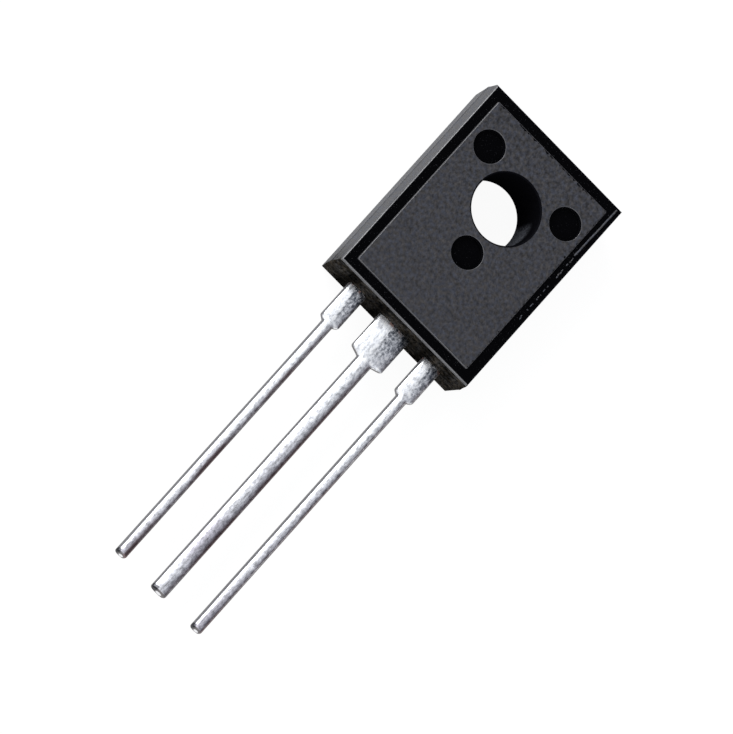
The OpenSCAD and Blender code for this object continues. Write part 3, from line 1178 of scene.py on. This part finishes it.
def makeFlash(kind, points):
    settings = {**flash["shared"], **flash[kind], "Material": flashMaterial}
    bm = sweep(kind + "_flash_path", points, flashTree, settings)
    finishPiece(kind + "_flash", bm, [flashMaterial])


def partingOutline():
    # all round except the side that the leads leave
    ring = bmesh.new()
    verts = cornerRing(ring, bodyLow.xy, bodyHigh.xy, moulding["uprightRadius"], partingZ)
    points = [tuple(vert.co) for vert in verts]
    ring.free()
    half = (moulding["cornerSteps"] + 1) // 2
    return points[half:-half]


def borderPoint(inset, fromTop):
    # a place in the border on the +X side, inset from the front rim
    rimX = bodyHigh.x - (bodyHigh.z - partingZ) * math.tan(moulding["draft"])
    return rimX - inset, bodyHigh.y - fromTop, bodyHigh.z - moulding["panelRise"]


def makeBorderFlash():
    top = borderLine["fromTop"]
    first, last = borderLine["inset"]
    makeFlash("border", [borderPoint(first, top), borderPoint(last, top + borderLine["length"])])


makeFlash("parting", partingOutline())
makeBorderFlash()


# a row of small beads further down the border

witness = {
    "inset": 0.25,               # from the front rim
    "fromTop": 2.6,
    "length": 4.2,
    "beads": {"Spacing": 0.13, "Length": 0.17, "Width": 0.07, "Height": 0.03, "Scatter": 0.08, "Kept": 0.6,
              "Seed": 4},
}
beadShape = {
    "segments": 10,
    "rings": 6,
    "long": (0.25, 1.0),         # from the shortest to the longest
    "wide": (0.6, 1.0),
    "scatter": ((-0.3, -1, 0), (0.3, 1, 0)),
}


def makeBeadTree():
    tree, take, result = newGroup("beadRow", "GeometryNodeTree", {
        "Path": "Geometry",
        "Spacing": 0.2,
        "Length": 0.2,
        "Width": 0.05,
        "Height": 0.02,
        "Scatter": 0.05,
        "Kept": 0.6,
        "Seed": 0,
        "Material": "Material",
    }, {"Geometry": "Geometry"})

    def random(kind, limits, step):
        node = addNode(tree, "FunctionNodeRandomValue", data_type=kind)
        values = dict(zip(("Min", "Max"), limits))
        for item in [item for item in node.inputs if item.enabled]:
            if item.name in values:
                item.default_value = values[item.name]
            if item.name == "Seed":
                tree.links.new(plus(tree, take["Seed"], step), item)
        return [item for item in node.outputs if item.enabled][0]

    path = build(tree, "GeometryNodeMeshToCurve", {"Mesh": take["Path"]})
    points = build(tree, "GeometryNodeCurveToPoints", {"Curve": path, "Length": take["Spacing"]},
                   mode="LENGTH")
    shift = scaled(tree, random("FLOAT_VECTOR", beadShape["scatter"], 1), take["Scatter"])
    points = build(tree, "GeometryNodeSetPosition", {"Geometry": points, "Offset": shift})
    dropped = calc(tree, "GREATER_THAN", random("FLOAT", (0.0, 1.0), 2), take["Kept"])
    points = build(tree, "GeometryNodeDeleteGeometry", {"Geometry": points, "Selection": dropped})
    bead = build(tree, "GeometryNodeMeshUVSphere", {
        "Segments": beadShape["segments"], "Rings": beadShape["rings"], "Radius": 0.5})
    long = times(tree, take["Length"], random("FLOAT", beadShape["long"], 3))
    wide = times(tree, take["Width"], random("FLOAT", beadShape["wide"], 4))
    size = build(tree, "ShaderNodeCombineXYZ", {"X": wide, "Y": long, "Z": take["Height"]})
    placed = build(tree, "GeometryNodeInstanceOnPoints", {"Points": points, "Instance": bead, "Scale": size})
    return closeTree(tree, take, result, placed)


def makeWitness():
    ends = [borderPoint(witness["inset"], witness["fromTop"] + along) for along in (witness["length"], 0)]
    bm = sweep("witness_path", ends, makeBeadTree(), {**witness["beads"], "Material": flashMaterial})
    finishPiece("border_witness", bm, [flashMaterial])


makeWitness()


# chip, solder and bond wires, hidden inside the moulding

inside = {
    "silicon": {"colour": (0.16, 0.17, 0.2), "dark": (0.05, 0.055, 0.08), "metallic": 0.75, "roughness": 0.18,
                "grain": 0.3, "contrast": 0.1, "bump": 0.02,
                "rim": (0.16, 0.12), "rimColour": (0.04, 0.07, 0.09)},
    "solder": {"colour": (0.48, 0.48, 0.5), "dark": (0.25, 0.25, 0.27), "metallic": 1.0, "roughness": 0.42,
               "grain": 0.08, "contrast": 0.4, "bump": 0.4},
    "bond_wire": {"colour": (0.87, 0.88, 0.89), "dark": (0.6, 0.6, 0.62), "metallic": 1.0, "roughness": 0.28,
                  "grain": 0.05, "contrast": 0.15, "bump": 0.1},
}
insideRoughness = {"cut": (0.3, 0.7), "spread": (0.8, 1.2)}
darkening = {"rate": 1.5, "detail": 2.0, "cut": (0.45, 0.75)}
insideNodes = {
    "chip": "silicon",
    "chip_solder": "solder",
    "cathode_wire": "bond_wire",
    "gate_wire": "bond_wire",
}


def chipRim(tree, look, place):
    # etched glass rim round the metal of the chip's top
    spot = split(tree, place)
    low, high = nodeBox("chip")
    centreY = (low.y + high.y) / 2
    across = minus(tree, high.x * mm, absolute(tree, spot["X"]))
    along = minus(tree, (high.y - centreY) * mm, absolute(tree, minus(tree, spot["Y"], centreY * mm)))
    return band(tree, calc(tree, "MINIMUM", across, along), *look["rim"])


def makeInside(name):
    look = inside[name]
    material, tree, shader, given = newMaterial(name + "_finish", {"Metallic": look["metallic"]})
    place = given["Object"]
    grain = addGrain(tree, place, look)
    colour = blend(tree, mottle(tree, place, darkening), look["colour"], look["dark"])
    if name == "silicon":
        colour = blend(tree, chipRim(tree, look, place), colour, look["rimColour"])
    colour = tinted(tree, colour, grain["Tone"])
    rough = unevenRoughness(tree, grain["Height"], look, **insideRoughness)
    plug(tree, shader, {"Base Color": colour, "Roughness": rough})
    addBump(tree, shader, look["bump"], look["grain"] * reliefDepth["inside"], grain["Height"])
    return material


insideMaterials = {name: makeInside(name) for name in inside}
for nodeName, finish in insideNodes.items():
    node = frame["nodes"][nodeName]
    node.data.materials.clear()
    node.data.materials.append(insideMaterials[finish])
print("inner parts finished:", ", ".join(insideNodes))


# studio

studio = {
    "aim": Vector((0.315, -8.9, 1.35)) * mm,
    "distance": 0.486,
    "azimuth": math.radians(-29.05),
    "elevation": math.radians(68.17),
    "roll": math.radians(72.75),
    "lens": 569,
    "sensor": 36,
    "clip": (0.01, 20),
}
ground = {
    "size": 3.0,
    "z": -0.02 * mm,             # just clear of the mounting face
    "paint": (0.5, 0.5, 0.5),    # what lights the object from below
    "seenPaint": (0.08, 0.08, 0.08),
    "seenGlow": 0.93,
}
room = {
    "keySide": (-0.6, -0.6, 0.53),
    "keyFade": (0.0, 0.17),
    "key": (1.1, 1.12, 1.15),
    "dimFade": (-0.6, 0.15),
    "fill": (0.45, 0.47, 0.52),
    "far": (0.1, 0.08, 0.088),
    "card": (0.18, 0.325, 0.928),
    "cardSize": 4.5,
    "cardEdge": 2,
    "cardTone": (0.015, 0.015, 0.02),
}
lamps = {
    "left_softbox": {"towards": (-0.75, 0.3, 0.58), "distance": 0.55, "size": (0.3, 0.3), "power": 2.2},
    "front_softbox": {"towards": (0.18, -0.75, 0.63), "distance": 0.6, "size": (0.3, 0.22), "power": 0.45},
}


def makeFloor():
    bpy.ops.mesh.primitive_plane_add(size=ground["size"])
    floor = bpy.context.object
    floor.name = "studio_floor"
    floor.location.z = ground["z"]
    material = bpy.data.materials.new("floor_white")
    material.use_nodes = True
    tree = material.node_tree
    tree.nodes.remove(tree.nodes["Principled BSDF"])
    rays = addNode(tree, "ShaderNodeLightPath").outputs
    seen = largest(tree, rays["Is Camera Ray"],
                   largest(tree, rays["Is Glossy Ray"], rays["Is Transmission Ray"]))
    paint = build(tree, "ShaderNodeBsdfDiffuse", {"Color": (*ground["paint"], 1)})
    thin = build(tree, "ShaderNodeBsdfDiffuse", {"Color": (*ground["seenPaint"], 1)})
    glow = build(tree, "ShaderNodeEmission", {"Color": (1, 1, 1, 1), "Strength": ground["seenGlow"]})
    lit = build(tree, "ShaderNodeAddShader", {0: thin, 1: glow})
    mix = build(tree, "ShaderNodeMixShader", {0: seen, 1: paint, 2: lit})
    plug(tree, tree.nodes["Material Output"], {"Surface": mix})
    floor.data.materials.append(material)


def makeWorld():
    # a bright side, a dim side, and a dark card where the flat black faces look
    world = bpy.data.worlds.new("studio")
    bpy.context.scene.world = world
    world.use_nodes = True
    tree = world.node_tree
    rays = addNode(tree, "ShaderNodeLightPath").outputs
    direction = addNode(tree, "ShaderNodeTexCoord").outputs["Generated"]

    def towards(vector):
        inputs = {0: direction, 1: Vector(vector).normalized()}
        return addNode(tree, "ShaderNodeVectorMath", inputs, operation="DOT_PRODUCT").outputs["Value"]

    bright = remap(tree, towards(room["keySide"]), *room["keyFade"], smooth=True)
    dim = remap(tree, towards(room["keySide"]), *room["dimFade"], smooth=True)
    cardRim = [math.cos(math.radians(room["cardSize"] + soft)) for soft in (room["cardEdge"], 0)]
    card = remap(tree, towards(room["card"]), *cardRim, smooth=True)
    tone = blend(tree, dim, room["far"], room["fill"])
    tone = blend(tree, bright, tone, room["key"])
    tone = blend(tree, card, tone, room["cardTone"])
    tone = blend(tree, rays["Is Camera Ray"], tone, (1, 1, 1))
    plug(tree, tree.nodes["Background"], {"Color": tone})


def makeLamp(name, towards, distance, size, power):
    lamp = bpy.data.lights.new(name, "AREA")
    lamp.shape = "RECTANGLE"
    lamp.size, lamp.size_y = size
    lamp.energy = power
    direction = Vector(towards).normalized()
    holder = newObject(name, lamp)
    holder.location = studio["aim"] + direction * distance
    holder.rotation_euler = direction.to_track_quat("Z", "Y").to_euler()


def makeCamera():
    camera = newObject("camera", bpy.data.cameras.new("camera"))
    azimuth, elevation = studio["azimuth"], studio["elevation"]
    level = math.cos(elevation)
    back = Vector((math.sin(azimuth) * level, -math.cos(azimuth) * level, math.sin(elevation)))
    camera.location = studio["aim"] + back * studio["distance"]
    camera.rotation_mode = "QUATERNION"
    camera.rotation_quaternion = (-back).to_track_quat("-Z", "Y") @ Quaternion((0, 0, 1), studio["roll"])
    camera.data.sensor_fit = "HORIZONTAL"
    camera.data.sensor_width = studio["sensor"]
    camera.data.lens = studio["lens"]
    camera.data.clip_start, camera.data.clip_end = studio["clip"]
    bpy.context.scene.camera = camera


makeFloor()
makeWorld()
for name, lamp in lamps.items():
    makeLamp(name, **lamp)
makeCamera()
bpy.context.scene.view_settings.view_transform = "Standard"
print("studio ready")
